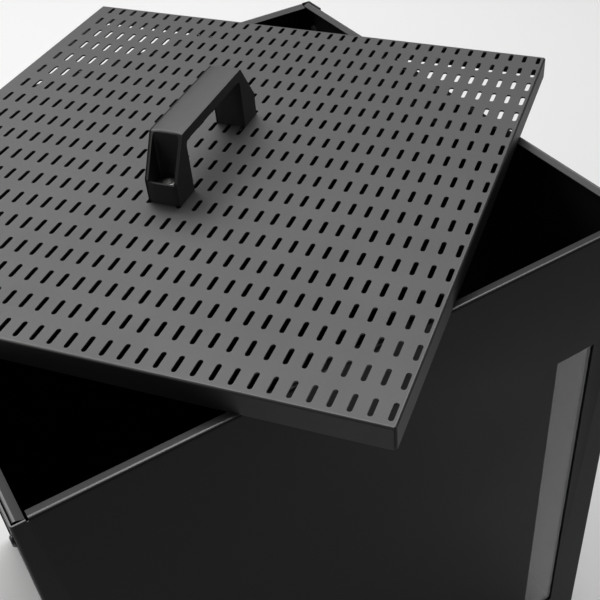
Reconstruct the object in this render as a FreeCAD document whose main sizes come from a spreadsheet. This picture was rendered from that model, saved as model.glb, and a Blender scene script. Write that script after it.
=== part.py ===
import FreeCAD
import Part

import math
import os
import re

import Sketcher
from FreeCAD import Placement, Rotation, Vector

# Pellet container: a square box of folded, black coated sheet steel with a tall sight window
# in the front, and a loose perforated lid that lies askew on the rim.
# The origin is on the ground under the middle of the lid, +Z is up and the front faces -Y.

doc = FreeCAD.newDocument("pellet_container")
sizes = doc.addObject("Spreadsheet::Sheet", "Sizes")

DRIVING_SIZES = [
    ("box_width", 350.0, "outer width, over the folded returns"),
    ("box_depth", 350.0, "outer depth, front face to back face"),
    ("wall_height", 400.0, "height of the sheet walls"),
    ("gauge", 1.0, "thickness of the wall sheet"),
    ("fold_radius", 1.5, "outer radius of a fold in the wall sheet"),
    ("return_length", 17.0, "front and back sheets folded round the sides"),
    ("rim_flange", 6.6, "top edge folded inwards, from the outer face"),
    ("rim_flat", 2.0, "level part of that edge, from the outer face"),
    ("rim_fall", 1.5, "fall of the rest of it towards the inside"),
    ("base_flange", 30.0, "bottom edge folded inwards, from the outer face"),
    ("relief_width", 1.0, "gap beside the end of a folded edge"),
    ("relief_depth", 4.0, "depth of that gap below the edge"),
    ("edge_gap", 1.2, "side sheet to the inside of the front and back sheets"),
    ("floor_gap", 0.4, "floor tray to the walls"),
    ("floor_lip", 12.0, "upturned edge of the floor tray"),
    ("foot_height", 10.0, "rubber foot"),
    ("foot_radius", 15.0, "rubber foot"),
    ("foot_inset", 22.0, "middle of a foot from the outer faces"),
    ("window_width", 28.0, "sight window in the front sheet"),
    ("window_side", 26.0, "window to the right outer face"),
    ("window_top", 81.0, "window to the rim"),
    ("window_foot", 52.0, "window to the bottom edge of the sheet"),
    ("pane_gauge", 3.0, "clear pane behind the window"),
    ("pane_lap", 8.0, "pane beyond the window on each side"),
    ("pane_gap", 0.3, "play of the pane in its guides"),
    ("guide_gauge", 1.0, "thickness of the guide strips"),
    ("guide_foot", 9.0, "part of a guide welded to the front sheet"),
    ("guide_lip", 5.0, "part of a guide over the pane"),
    ("stop_leg", 10.0, "legs of the angle under the pane"),
    ("ledge_length", 60.0, "angle that carries the closed lid"),
    ("ledge_leg", 15.0, "welded leg of that angle"),
    ("ledge_shelf", 18.0, "shelf of that angle"),
    ("screw_inset", 9.5, "corner screw behind the front or back face"),
    ("screw_drop", 18.7, "upper corner screw below the rim"),
    ("screw_rise", 40.0, "lower corner screw above the bottom edge"),
    ("screw_play", 0.2, "hole larger than the shank, on the radius"),
    ("corner_shank", 1.5, "radius of an M3 corner screw"),
    ("corner_head", 2.85, "radius of its button head"),
    ("corner_head_height", 1.65, "height of its button head"),
    ("corner_head_rim", 0.5, "upright rim of its button head"),
    ("corner_head_flat", 1.7, "radius of the flat on its button head"),
    ("corner_nut", 5.5, "M3 nut across the flats"),
    ("corner_nut_height", 2.4, "M3 nut"),
    ("corner_end", 1.2, "shank beyond the nut"),
    ("lid_side_gap", 10.0, "side of the closed lid inside the outer face"),
    ("lid_end_gap", 7.0, "front and back of the closed lid inside the outer face"),
    ("lid_skirt", 13.5, "height of the folded skirt"),
    ("lid_gauge", 1.0, "thickness of the lid sheet"),
    ("lid_fold", 1.3, "outer radius of the fold round the lid"),
    ("lid_slit", 1.6, "open corner between two skirts"),
    ("lid_turn", -52.2, "how far the lid lies turned on the rim, in degrees"),
    ("lid_across", 2.0, "middle of the lid to the right of the middle of the box"),
    ("lid_along", 2.8, "middle of the lid behind the middle of the box"),
    ("slot_width", 2.6, "slot in the lid"),
    ("slot_length", 10.5, "slot in the lid, front to back"),
    ("slot_pitch", 9.0, "from column to column"),
    ("slot_shift", 0.8, "middle column to the left of the middle of the lid"),
    ("outer_row_pitch", 18.27, "from row to row near the front and the back"),
    ("inner_row_pitch", 19.35, "from row to row in the middle"),
    ("front_margin", 20.62, "first row of slots to the front fold of the lid"),
    ("slot_margin", 1.15, "least distance from a slot to a fold"),
    ("handle_length", 102.0, "bridge handle over its feet"),
    ("handle_top", 74.0, "flat top of the handle"),
    ("handle_width", 19.0, "width of the handle"),
    ("handle_height", 37.0, "height of the handle"),
    ("handle_base", 14.0, "upright end of a foot, below the slope"),
    ("handle_foot", 16.6, "length of a foot on the lid"),
    ("handle_bar", 6.0, "thickness of the grip bar"),
    ("handle_round", 1.2, "rounding along the grip bar"),
    ("pocket_wall", 1.8, "side wall beside a screw pocket"),
    ("pocket_lip", 1.4, "end wall of a screw pocket"),
    ("pocket_back", 3.2, "inner wall of a screw pocket"),
    ("pocket_floor", 7.5, "foot under the screw head"),
    ("handle_screw_inset", 7.8, "screw from the end of the handle"),
    ("handle_shank", 2.5, "radius of an M5 handle screw"),
    ("handle_head", 4.75, "radius of its button head"),
    ("handle_head_height", 2.3, "height of its button head"),
    ("handle_head_rim", 0.8, "upright rim of its button head"),
    ("handle_head_flat", 2.9, "radius of the flat on its button head"),
    ("handle_nut", 8.0, "M5 nut across the flats"),
    ("handle_nut_height", 4.0, "M5 nut"),
    ("handle_end", 2.0, "shank beyond the nut"),
    ("washer_radius", 5.0, "M5 washer"),
    ("washer_gauge", 1.0, "M5 washer"),
]

COLUMNS = 35
FRONT_ROWS = 3
INNER_ROWS = 10
BACK_ROWS = 3
FASTENER_SIDES = 8
FOOT_SIDES = 16

for row, (alias, number, note) in enumerate(DRIVING_SIZES, 1):
    sizes.set(f"A{row}", alias)
    sizes.set(f"B{row}", str(number))
    sizes.setAlias(f"B{row}", alias)
    sizes.set(f"C{row}", note)
doc.recompute()

ALIASES = {alias for alias, number, note in DRIVING_SIZES}


def formula(text):
    """The text with each size's name written as a cell of the sheet."""
    def cell(word):
        return f"Sizes.{word.group()}" if word.group() in ALIASES else word.group()

    return re.sub(r"[a-z_]+", cell, text)


def size(text):
    """The number that a formula of sizes gives now."""
    return float(sizes.evalExpression(formula(text)))


# Sketches and features

def new_body(label):
    body = doc.addObject("PartDesign::Body", label)
    body.Label = label
    return body


def new_sketch(body, name, plane, height="0"):
    """A sketch on one of the body's own origin planes, raised along its normal."""
    sketch = body.newObject("Sketcher::SketchObject", f"{body.Label}_{name}")
    support = next(item for item in body.Origin.OriginFeatures if item.Role == plane)
    sketch.AttachmentSupport = [(support, "")]
    sketch.MapMode = "FlatFace"
    sketch.setExpression("AttachmentOffset.Base.z", formula(height))
    return sketch


def draw_outline(sketch, corners):
    """A closed outline whose corners are pairs of formulas."""
    first = sketch.GeometryCount
    count = len(corners)
    points = [Vector(size(across), size(along), 0) for across, along in corners]
    for index in range(count):
        sketch.addGeometry(Part.LineSegment(points[index], points[(index + 1) % count]))
    for index, corner in enumerate(corners):
        after = first + (index + 1) % count
        sketch.addConstraint(Sketcher.Constraint("Coincident", first + index, 2, after, 1))
        for kind, text, number in zip(("DistanceX", "DistanceY"), corner, points[index]):
            held = sketch.addConstraint(Sketcher.Constraint(kind, -1, 1, first + index, 1, number))
            sketch.setExpression(f"Constraints[{held}]", formula(text))


def draw_rectangle(sketch, left, low, right, high):
    draw_outline(sketch, [(left, low), (right, low), (right, high), (left, high)])


def draw_hole(sketch, across, along, radius):
    """A many-sided hole, so that the repeated fasteners stay light."""
    corners = []
    for step in range(FASTENER_SIDES):
        angle = 360 * (step + 0.5) / FASTENER_SIDES
        corners.append((
            f"{across} + ({radius}) * cos({angle} deg)",
            f"{along} + ({radius}) * sin({angle} deg)",
        ))
    draw_outline(sketch, corners)


def add_pad(body, sketch, length, side="One side", reverse=False):
    pad = body.newObject("PartDesign::Pad", f"{sketch.Name}_pad")
    pad.Profile = sketch
    pad.SideType = side
    pad.Reversed = reverse
    pad.setExpression("Length", formula(length))
    sketch.Visibility = False
    doc.recompute()
    return pad


def add_pocket(body, sketch, length, side="One side", reverse=False):
    """A cut that has to take material away, whichever way it points."""
    before = body.Shape.Volume
    pocket = body.newObject("PartDesign::Pocket", f"{sketch.Name}_pocket")
    pocket.Profile = sketch
    pocket.SideType = side
    pocket.Reversed = reverse
    pocket.setExpression("Length", formula(length))
    sketch.Visibility = False
    doc.recompute()
    if not pocket.Shape.Volume < before:
        raise RuntimeError(f"{pocket.Name} cuts nothing")
    return pocket


def lies_on(edge, **places):
    """Whether an edge is straight and lies wholly at the given x, y or z."""
    if edge.Curve.TypeId != "Part::GeomLine":
        return False
    ends = [vertex.Point for vertex in edge.Vertexes]
    return all(abs(getattr(end, axis) - place) < 1e-4 for end in ends for axis, place in places.items())


def add_fillet(body, name, radius, places):
    """Rounds the straight edges of the body's last feature that lie at one of the places."""
    base = body.Tip
    edges = []
    for index, edge in enumerate(base.Shape.Edges, 1):
        if any(lies_on(edge, **place) for place in places):
            edges.append(f"Edge{index}")
    fillet = body.newObject("PartDesign::Fillet", f"{body.Label}_{name}")
    fillet.Base = (base, edges)
    fillet.setExpression("Radius", formula(radius))
    doc.recompute()
    return fillet


def place_at(part, across, along, height, turn=0.0):
    """Places a piece of the box by the middle of the box, which is a little off the origin."""
    middle = Vector(size(f"{across} - lid_across"), size(f"{along} - lid_along"), size(height))
    part.Placement = Placement(middle, Rotation(Vector(0, 0, 1), turn))


# Loose solids for the groups of fasteners

def turned(profile):
    """A many-sided solid about +Z through rings of (radius, height), from the bottom up."""
    turns = [2 * math.pi * (step + 0.5) / FASTENER_SIDES for step in range(FASTENER_SIDES)]
    rings = []
    for radius, height in profile:
        rings.append([Vector(radius * math.cos(turn), radius * math.sin(turn), height) for turn in turns])
    outlines = [rings[0], rings[-1]]
    for lower, upper in zip(rings, rings[1:]):
        for index in range(FASTENER_SIDES):
            before = index - 1
            outlines.append([lower[before], lower[index], upper[index], upper[before]])
    shell = Part.makeShell([Part.Face(Part.makePolygon(outline + outline[:1])) for outline in outlines])
    shell.sewShape()
    solid = Part.makeSolid(shell)
    if solid.Volume < 0:
        solid.reverse()
    return solid


def post(radius, low, high):
    return turned([(radius, low), (radius, high)])


def button_screw(kind, length):
    """A button-head screw on +Z, with its head standing on the plane z = 0."""
    return turned([
        (size(f"{kind}_shank"), -length),
        (size(f"{kind}_shank"), 0),
        (size(f"{kind}_head"), 0),
        (size(f"{kind}_head"), size(f"{kind}_head_rim")),
        (size(f"{kind}_head_flat"), size(f"{kind}_head_height")),
    ])


def hex_nut(kind):
    """A plain nut that stands on the plane z = 0 and reaches up."""
    radius = size(f"{kind}_nut") / math.sqrt(3)
    height = size(f"{kind}_nut_height")
    turns = [math.pi / 3 * step for step in range(7)]
    outline = Part.makePolygon([Vector(radius * math.cos(a), radius * math.sin(a), 0) for a in turns])
    prism = Part.Face(outline).extrude(Vector(0, 0, height))
    return prism.cut(post(size(f"{kind}_shank + screw_play"), -1, height + 1))


def flat_washer():
    """A plain washer that stands on the plane z = 0 and reaches up."""
    ring = post(size("washer_radius"), 0, size("washer_gauge"))
    return ring.cut(post(size("handle_shank + screw_play"), -1, size("washer_gauge") + 1))


def add_group(label, solid, places):
    """Copies of one solid, kept as separate solids of one sub-part."""
    copies = []
    for place in places:
        copy = solid.copy()
        copy.Placement = place
        copies.append(copy)
    group = doc.addObject("Part::Feature", label)
    group.Label = label
    group.Shape = Part.makeCompound(copies)
    group.Placement = Placement()
    return group


# Front and back sheets: each is folded round the sides and has its top and bottom edges folded in.
# The top edge starts level, as high as the plain corners, and then falls a little towards the inside.
# In its own frame a sheet's outer face is on y = 0, with the inside towards +y.

HALF_SHEET = "box_width / 2"
RIM_LOW = "wall_height - rim_fall"
SCREW_HEIGHTS = ("wall_height - screw_drop", "screw_rise")


def end_sheet(label):
    body = new_body(label)
    plan = new_sketch(body, "plan", "XY_Plane")
    draw_outline(plan, [
        (f"-{HALF_SHEET}", "0"),
        (HALF_SHEET, "0"),
        (HALF_SHEET, "return_length"),
        (f"{HALF_SHEET} - gauge", "return_length"),
        (f"{HALF_SHEET} - gauge", "gauge"),
        (f"gauge - {HALF_SHEET}", "gauge"),
        (f"gauge - {HALF_SHEET}", "return_length"),
        (f"-{HALF_SHEET}", "return_length"),
    ])
    add_pad(body, plan, "wall_height")
    half = size(HALF_SHEET)
    add_fillet(body, "outer_bends", "fold_radius", [{"x": half, "y": 0}, {"x": -half, "y": 0}])
    rim = new_sketch(body, "rim_flange", "YZ_Plane")
    draw_outline(rim, [
        ("0", "wall_height"),
        ("rim_flat", "wall_height"),
        ("rim_flange", RIM_LOW),
        ("rim_flange", f"{RIM_LOW} - gauge"),
        ("rim_flat", "wall_height - gauge"),
        ("0", "wall_height - gauge"),
    ])
    rim_reach = f"{HALF_SHEET} - rim_flange - relief_width"
    add_pad(body, rim, f"2 * ({rim_reach})", "Symmetric")
    base = new_sketch(body, "base_flange", "XY_Plane")
    base_reach = f"{HALF_SHEET} - base_flange - relief_width"
    draw_rectangle(base, f"-({base_reach})", "0", base_reach, "base_flange")
    add_pad(body, base, "gauge")
    for edge, reach, flange, low, high, fold in (
        ("rim", rim_reach, "rim_flange", "wall_height - relief_depth", "wall_height + 2", "wall_height"),
        ("base", base_reach, "base_flange", "-1", "relief_depth", "0"),
    ):
        notches = new_sketch(body, f"{edge}_relief", "XZ_Plane")
        draw_rectangle(notches, reach, low, f"{reach} + relief_width", high)
        draw_rectangle(notches, f"-({reach}) - relief_width", low, f"-({reach})", high)
        add_pocket(body, notches, f"2 * {flange}", "Symmetric")
        round_strip_fold(body, edge, size(reach), size(fold))
    holes = new_sketch(body, "screw_holes", "YZ_Plane")
    for height in SCREW_HEIGHTS:
        draw_hole(holes, "screw_inset", height, "corner_shank + screw_play")
    add_pocket(body, holes, "box_width + 2", "Symmetric")
    return body


def round_strip_fold(body, edge, span, height):
    """Rounds the fold between a sheet and its folded edge."""
    base = body.Tip
    picked = []
    for index, line in enumerate(base.Shape.Edges, 1):
        if lies_on(line, y=0, z=height) and abs(line.CenterOfMass.x) < span:
            picked.append(f"Edge{index}")
    fillet = body.newObject("PartDesign::Fillet", f"{body.Label}_{edge}_fold")
    fillet.Base = (base, picked)
    fillet.setExpression("Radius", formula("fold_radius"))
    doc.recompute()


front = end_sheet("front_panel")
opening = new_sketch(front, "window", "XZ_Plane")
WINDOW_RIGHT = "box_width / 2 - window_side"
WINDOW_LEFT = "box_width / 2 - window_side - window_width"
WINDOW_LOW = "window_foot"
WINDOW_HIGH = "wall_height - window_top"
draw_rectangle(opening, WINDOW_LEFT, WINDOW_LOW, WINDOW_RIGHT, WINDOW_HIGH)
add_pocket(front, opening, "4 * gauge", "Symmetric")
place_at(front, "0", "-box_depth / 2", "foot_height")

back = end_sheet("back_panel")
place_at(back, "0", "box_depth / 2", "foot_height", 180)

# Side sheets: flat, between the front and back sheets and inside their returns, with the top and
# bottom edges folded in. In its own frame a sheet's outer face is on x = 0, the inside towards +x.

SIDE_LENGTH = "box_depth - 2 * (gauge + edge_gap)"
SIDE_FLANGE = "rim_flange - gauge"


def side_sheet(label):
    body = new_body(label)
    section = new_sketch(body, "section", "XZ_Plane")
    draw_outline(section, [
        ("0", "0"),
        ("base_flange - gauge", "0"),
        ("base_flange - gauge", "gauge"),
        ("gauge", "gauge"),
        ("gauge", "wall_height - gauge"),
        ("rim_flat", "wall_height - gauge"),
        (SIDE_FLANGE, f"{RIM_LOW} - gauge"),
        (SIDE_FLANGE, RIM_LOW),
        ("rim_flat", "wall_height"),
        ("0", "wall_height"),
    ])
    add_pad(body, section, SIDE_LENGTH, "Symmetric")
    add_fillet(body, "outer_bends", "fold_radius", [{"x": 0, "z": 0}, {"x": 0, "z": size("wall_height")}])
    holes = new_sketch(body, "screw_holes", "YZ_Plane")
    for height in SCREW_HEIGHTS:
        for end in ("screw_inset - box_depth / 2", "box_depth / 2 - screw_inset"):
            draw_hole(holes, end, height, "corner_shank + screw_play")
    add_pocket(body, holes, "4 * gauge", "Symmetric")
    return body


SIDE_FACE = "box_width / 2 - gauge"
left = side_sheet("left_side_panel")
place_at(left, f"-({SIDE_FACE})", "0", "foot_height")
right = side_sheet("right_side_panel")
place_at(right, SIDE_FACE, "0", "foot_height", 180)

# Floor tray: lies on the folded bottom edges of the four walls, with its own edges turned up.

FLOOR_HALF_WIDTH = "box_width / 2 - 2 * gauge - floor_gap"
FLOOR_HALF_DEPTH = "box_depth / 2 - gauge - floor_gap"
tray = new_body("floor_panel")
plate = new_sketch(tray, "outside", "XY_Plane")
draw_rectangle(
    plate,
    f"-({FLOOR_HALF_WIDTH})",
    f"-({FLOOR_HALF_DEPTH})",
    FLOOR_HALF_WIDTH,
    FLOOR_HALF_DEPTH,
)
add_pad(tray, plate, "floor_lip")
across = size(FLOOR_HALF_WIDTH)
along = size(FLOOR_HALF_DEPTH)
UNDER_EDGES = [{"x": across, "z": 0}, {"x": -across, "z": 0}, {"y": along, "z": 0}, {"y": -along, "z": 0}]
add_fillet(tray, "outer_bends", "fold_radius", UNDER_EDGES)
hollow = new_sketch(tray, "inside", "XY_Plane", "gauge")
draw_rectangle(
    hollow,
    f"gauge - ({FLOOR_HALF_WIDTH})",
    f"gauge - ({FLOOR_HALF_DEPTH})",
    f"{FLOOR_HALF_WIDTH} - gauge",
    f"{FLOOR_HALF_DEPTH} - gauge",
)
add_pocket(tray, hollow, "floor_lip", reverse=True)
corners = new_sketch(tray, "corners", "XY_Plane")
for side in ("-", ""):
    for end in ("-", ""):
        draw_rectangle(
            corners,
            f"{side}({FLOOR_HALF_WIDTH} - fold_radius)",
            f"{end}({FLOOR_HALF_DEPTH} - fold_radius)",
            f"{side}({FLOOR_HALF_WIDTH} + 1)",
            f"{end}({FLOOR_HALF_DEPTH} + 1)",
        )
add_pocket(tray, corners, "2 * floor_lip", "Symmetric")
place_at(tray, "0", "0", "foot_height + gauge")

# Rubber feet, stuck under the folded bottom edges near the corners.

FEET = {
    "front_left_foot": (-1, -1),
    "front_right_foot": (1, -1),
    "back_left_foot": (-1, 1),
    "back_right_foot": (1, 1),
}
for label, (side, end) in FEET.items():
    foot = doc.addObject("Part::Prism", label)
    foot.Label = label
    foot.Polygon = FOOT_SIDES
    foot.setExpression("Circumradius", formula("foot_radius"))
    foot.setExpression("Height", formula("foot_height"))
    place_at(foot, f"{side} * (box_width / 2 - foot_inset)", f"{end} * (box_depth / 2 - foot_inset)", "0")

# Sight pane: a clear strip behind the window, between two welded guides and on a welded stop.
# All four are drawn from the inner face of the front sheet.

PANE_LEFT = f"{WINDOW_LEFT} - pane_lap"
PANE_RIGHT = f"{WINDOW_RIGHT} + pane_lap"
PANE_LOW = f"{WINDOW_LOW} - pane_lap"
PANE_HEIGHT = f"{WINDOW_HIGH} - {WINDOW_LOW} + 2 * pane_lap"
INNER_FACE = "gauge - box_depth / 2"

pane = doc.addObject("Part::Box", "window_pane")
pane.Label = "window_pane"
pane.setExpression("Length", formula("window_width + 2 * pane_lap"))
pane.setExpression("Width", formula("pane_gauge"))
pane.setExpression("Height", formula(PANE_HEIGHT))
place_at(pane, PANE_LEFT, INNER_FACE, f"foot_height + {PANE_LOW}")


def pane_guide(label, start, turn_sign):
    """A stepped strip: a foot on the front sheet, an upright beside the pane and a lip behind it."""
    body = new_body(label)
    section = new_sketch(body, "section", "XY_Plane")
    clear = "pane_gauge + pane_gap"
    profile = [
        ("pane_gap", "0"),
        ("pane_gap + guide_foot", "0"),
        ("pane_gap + guide_foot", "guide_gauge"),
        ("pane_gap + guide_gauge", "guide_gauge"),
        ("pane_gap + guide_gauge", f"{clear} + guide_gauge"),
        ("pane_gap - guide_lip", f"{clear} + guide_gauge"),
        ("pane_gap - guide_lip", clear),
        ("pane_gap", clear),
    ]
    draw_outline(section, [(f"{turn_sign} * ({out})", deep) for out, deep in profile])
    add_pad(body, section, PANE_HEIGHT)
    place_at(body, start, INNER_FACE, f"foot_height + {PANE_LOW}")
    return body


pane_guide("left_pane_guide", PANE_LEFT, "-1")
pane_guide("right_pane_guide", PANE_RIGHT, "1")

stop = new_body("pane_stop")
stop_section = new_sketch(stop, "section", "YZ_Plane")
draw_outline(stop_section, [
    ("0", "0"),
    ("0", "-stop_leg"),
    ("guide_gauge", "-stop_leg"),
    ("guide_gauge", "-guide_gauge"),
    ("stop_leg", "-guide_gauge"),
    ("stop_leg", "0"),
])
add_pad(stop, stop_section, "window_width", "Symmetric")
place_at(stop, f"{WINDOW_LEFT} + window_width / 2", INNER_FACE, f"foot_height + {PANE_LOW}")

# Lid ledges: an angle welded inside the middle of each wall, one skirt's height below the rim,
# so that the closed lid lies flush in the mouth.

LEDGES = {
    "front_lid_ledge": ("box_depth / 2 - gauge", 0),
    "right_lid_ledge": ("box_width / 2 - 2 * gauge", 90),
    "back_lid_ledge": ("box_depth / 2 - gauge", 180),
    "left_lid_ledge": ("box_width / 2 - 2 * gauge", 270),
}
for label, (wall, turn) in LEDGES.items():
    ledge = new_body(label)
    angle_section = new_sketch(ledge, "section", "YZ_Plane")
    draw_outline(angle_section, [
        (f"-({wall})", "0"),
        (f"-({wall})", "-ledge_leg"),
        (f"gauge - ({wall})", "-ledge_leg"),
        (f"gauge - ({wall})", "-gauge"),
        (f"ledge_shelf - ({wall})", "-gauge"),
        (f"ledge_shelf - ({wall})", "0"),
    ])
    add_pad(ledge, angle_section, "ledge_length", "Symmetric")
    place_at(ledge, "0", "0", "foot_height + wall_height - lid_skirt", turn)

# Corner screws from outside through a return and a side sheet, each with a nut inside.

GRIP = size("2 * gauge")
screw_places = []
nut_places = []
for side in (-1, 1):
    outwards = Rotation(Vector(0, 0, 1), Vector(side, 0, 0))
    inwards = Rotation(Vector(0, 0, 1), Vector(-side, 0, 0))
    for end in (-1, 1):
        for height in SCREW_HEIGHTS:
            spot = Vector(
                side * size("box_width / 2") - size("lid_across"),
                end * size("box_depth / 2 - screw_inset") - size("lid_along"),
                size(f"foot_height + {height}"),
            )
            screw_places.append(Placement(spot, outwards))
            nut_places.append(Placement(spot - Vector(side * GRIP, 0, 0), inwards))
corner_length = size("2 * gauge + corner_nut_height + corner_end")
add_group("corner_screws", button_screw("corner", corner_length), screw_places)
add_group("corner_nuts", hex_nut("corner"), nut_places)

# Lid: one perforated sheet with a skirt folded down all round and open at the corners.
# In its own frame the lid's middle is on the Z axis and its skirt stands on z = 0.

LID_PLACE = Placement(
    Vector(0, 0, size("foot_height + wall_height")),
    Rotation(Vector(0, 0, 1), size("lid_turn")),
)
cover = new_body("lid_tray")
LID_HALF_WIDTH = "box_width / 2 - lid_side_gap"
LID_HALF_DEPTH = "box_depth / 2 - lid_end_gap"
outside = new_sketch(cover, "outside", "XY_Plane")
draw_rectangle(outside, f"-({LID_HALF_WIDTH})", f"-({LID_HALF_DEPTH})", LID_HALF_WIDTH, LID_HALF_DEPTH)
add_pad(cover, outside, "lid_skirt")
lid_top = size("lid_skirt")
lid_half = {"x": size(LID_HALF_WIDTH), "y": size(LID_HALF_DEPTH)}
TOP_EDGES = [{axis: side * lid_half[axis], "z": lid_top} for axis in "xy" for side in (-1, 1)]
add_fillet(cover, "outer_bends", "lid_fold", TOP_EDGES)
under = new_sketch(cover, "inside", "XY_Plane")
draw_rectangle(
    under,
    f"lid_gauge - ({LID_HALF_WIDTH})",
    f"lid_gauge - ({LID_HALF_DEPTH})",
    f"{LID_HALF_WIDTH} - lid_gauge",
    f"{LID_HALF_DEPTH} - lid_gauge",
)
add_pocket(cover, under, "lid_skirt - lid_gauge", reverse=True)
under_top = size("lid_skirt - lid_gauge")
inside = {axis: half - size("lid_gauge") for axis, half in lid_half.items()}
INSIDE_EDGES = [{axis: side * inside[axis], "z": under_top} for axis in "xy" for side in (-1, 1)]
add_fillet(cover, "inner_bends", "lid_fold - lid_gauge", INSIDE_EDGES)
slits = new_sketch(cover, "slits", "XY_Plane")
for side in ("-", ""):
    for end in ("-", ""):
        draw_rectangle(
            slits,
            f"{side}({LID_HALF_WIDTH} - lid_slit)",
            f"{end}({LID_HALF_DEPTH} - lid_slit)",
            f"{side}({LID_HALF_WIDTH} + 1)",
            f"{end}({LID_HALF_DEPTH} + 1)",
        )
add_pocket(cover, slits, "lid_skirt - lid_fold", reverse=True)
cover.Placement = LID_PLACE

# The slots stand in straight columns, and the rows are a little closer near the front and the back.
# The plate between the folds is made row by row, one strip for each row that fits on it, and a slot
# is left out where a handle screw comes through.

row_steps = (
    [size("outer_row_pitch")] * FRONT_ROWS
    + [size("inner_row_pitch")] * INNER_ROWS
    + [size("outer_row_pitch")] * BACK_ROWS
)
half_slot = Vector(size("slot_width / 2"), size("slot_length / 2"), 0)
plate_half = {axis: half - size("lid_fold") for axis, half in lid_half.items()}
next_row = size("front_margin") + half_slot.y - plate_half["y"]
row_places = []
for step in row_steps:
    if next_row + half_slot.y + size("slot_margin") < plate_half["y"]:
        row_places.append(next_row)
    next_row += step
column_places = []
for index in range(COLUMNS):
    place = (index - (COLUMNS - 1) / 2) * size("slot_pitch") - size("slot_shift")
    if abs(place) + half_slot.x + size("slot_margin") < plate_half["x"]:
        column_places.append(place)
row_end = max(map(abs, column_places)) + half_slot.x + size("slot_margin / 2")
strip_edges = [row_places[0] - half_slot.y - size("slot_margin / 2")]
strip_edges += [(near + far) / 2 for near, far in zip(row_places, row_places[1:])]
strip_edges += [row_places[-1] + half_slot.y + size("slot_margin / 2")]
HANDLE_HOLE = "handle_length / 2 - handle_screw_inset"
screw_row = size(HANDLE_HOLE)


def under_outline(left, near, right, far):
    corners = [(left, near), (right, near), (right, far), (left, far), (left, near)]
    return Part.makePolygon([Vector(x, y, under_top) for x, y in corners])


def slotted_strip(near, far, middle_y):
    """One row of slots in the strip of the plate from y = near to y = far."""
    outlines = [under_outline(-row_end, near, row_end, far)]
    for middle_x in column_places:
        to_side = max(abs(middle_x) - half_slot.x, 0)
        to_screw = max(abs(abs(middle_y) - screw_row) - half_slot.y, 0)
        if math.hypot(to_side, to_screw) < size("washer_radius"):
            continue
        low = Vector(middle_x, middle_y, 0) - half_slot
        high = Vector(middle_x, middle_y, 0) + half_slot
        outlines.append(under_outline(low.x, low.y, high.x, high.y))
    face = Part.makeFace(outlines, "Part::FaceMakerBullseye")
    return face.extrude(Vector(0, 0, size("lid_gauge")))


def add_helper(label, shape):
    helper = doc.addObject("Part::Feature", label)
    helper.Shape = shape
    helper.Placement = LID_PLACE
    return helper


field_depth = strip_edges[-1] - strip_edges[0]
field = Part.makeBox(2 * row_end, field_depth, 2 * lid_top, Vector(-row_end, strip_edges[0], 0))
lid_frame = doc.addObject("Part::Cut", "lid_frame")
lid_frame.Base = cover
lid_frame.Tool = add_helper("lid_field", field)
strips = [slotted_strip(*row) for row in zip(strip_edges, strip_edges[1:], row_places)]
lid_plate = doc.addObject("Part::MultiFuse", "lid_plate")
strip_helpers = [add_helper(f"lid_row_{index}", strip) for index, strip in enumerate(strips, 1)]
lid_plate.Shapes = [lid_frame] + strip_helpers
lid_plate.Refine = False
drill = post(size("handle_shank + screw_play"), 0, 2 * lid_top)
drills = []
for end in (-1, 1):
    drills.append(drill.translated(Vector(0, end * screw_row, 0)))
lid_panel = doc.addObject("Part::Cut", "lid_panel")
lid_panel.Label = "lid_panel"
lid_panel.Base = lid_plate
lid_panel.Tool = add_helper("lid_drills", Part.makeCompound(drills))
lid_panel.Refine = False

# Bridge handle: moulded plastic with sloping ends, each open to a pocket for a screw.

handle = new_body("lid_handle")
side_view = new_sketch(handle, "side_view", "YZ_Plane")
outer_half = [
    ("handle_length / 2", "0"),
    ("handle_length / 2", "handle_base"),
    ("handle_top / 2", "handle_height"),
]
inner_half = [
    ("handle_length / 2 - handle_foot", "handle_height - handle_bar"),
    ("handle_length / 2 - handle_foot", "0"),
]
draw_outline(
    side_view,
    outer_half
    + [(f"-({out})", up) for out, up in reversed(outer_half)]
    + [(f"-({out})", up) for out, up in reversed(inner_half)]
    + inner_half,
)
add_pad(handle, side_view, "handle_width", "Symmetric")
half_width = size("handle_width / 2")
grip_top = size("handle_height")
GRIP_EDGES = [{"x": half_width, "z": grip_top}, {"x": -half_width, "z": grip_top}]
add_fillet(handle, "grip_edges", "handle_round", GRIP_EDGES)
pockets = new_sketch(handle, "pockets", "XY_Plane", "pocket_floor")
POCKET_HALF = "handle_width / 2 - pocket_wall"
POCKET_NEAR = "handle_length / 2 - handle_foot + pocket_back"
POCKET_FAR = "handle_length / 2 - pocket_lip"
for end in ("-", ""):
    near, far = f"{end}({POCKET_NEAR})", f"{end}({POCKET_FAR})"
    draw_rectangle(pockets, f"-({POCKET_HALF})", near, POCKET_HALF, far)
add_pocket(handle, pockets, "handle_height", reverse=True)
foot_holes = new_sketch(handle, "screw_holes", "XY_Plane")
for end in ("-", ""):
    draw_hole(foot_holes, "0", f"{end}({HANDLE_HOLE})", "handle_shank + screw_play")
add_pocket(handle, foot_holes, "2 * pocket_floor", "Symmetric")
handle.Placement = LID_PLACE.multiply(Placement(Vector(0, 0, lid_top), Rotation()))

# Handle screws from above, with a washer and a nut under the lid.

upside_down = Rotation(Vector(1, 0, 0), 180)
head_level = lid_top + size("pocket_floor")
washer_level = lid_top - size("lid_gauge")
nut_level = washer_level - size("washer_gauge")


def handle_places(level, turn):
    return [LID_PLACE.multiply(Placement(Vector(0, end * screw_row, level), turn)) for end in (-1, 1)]


through = size("pocket_floor + lid_gauge + washer_gauge + handle_nut_height + handle_end")
add_group("handle_screws", button_screw("handle", through), handle_places(head_level, Rotation()))
add_group("handle_washers", flat_washer(), handle_places(washer_level, upside_down))
add_group("handle_nuts", hex_nut("handle"), handle_places(nut_level, upside_down))

# Every object is sound before anything is written

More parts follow.
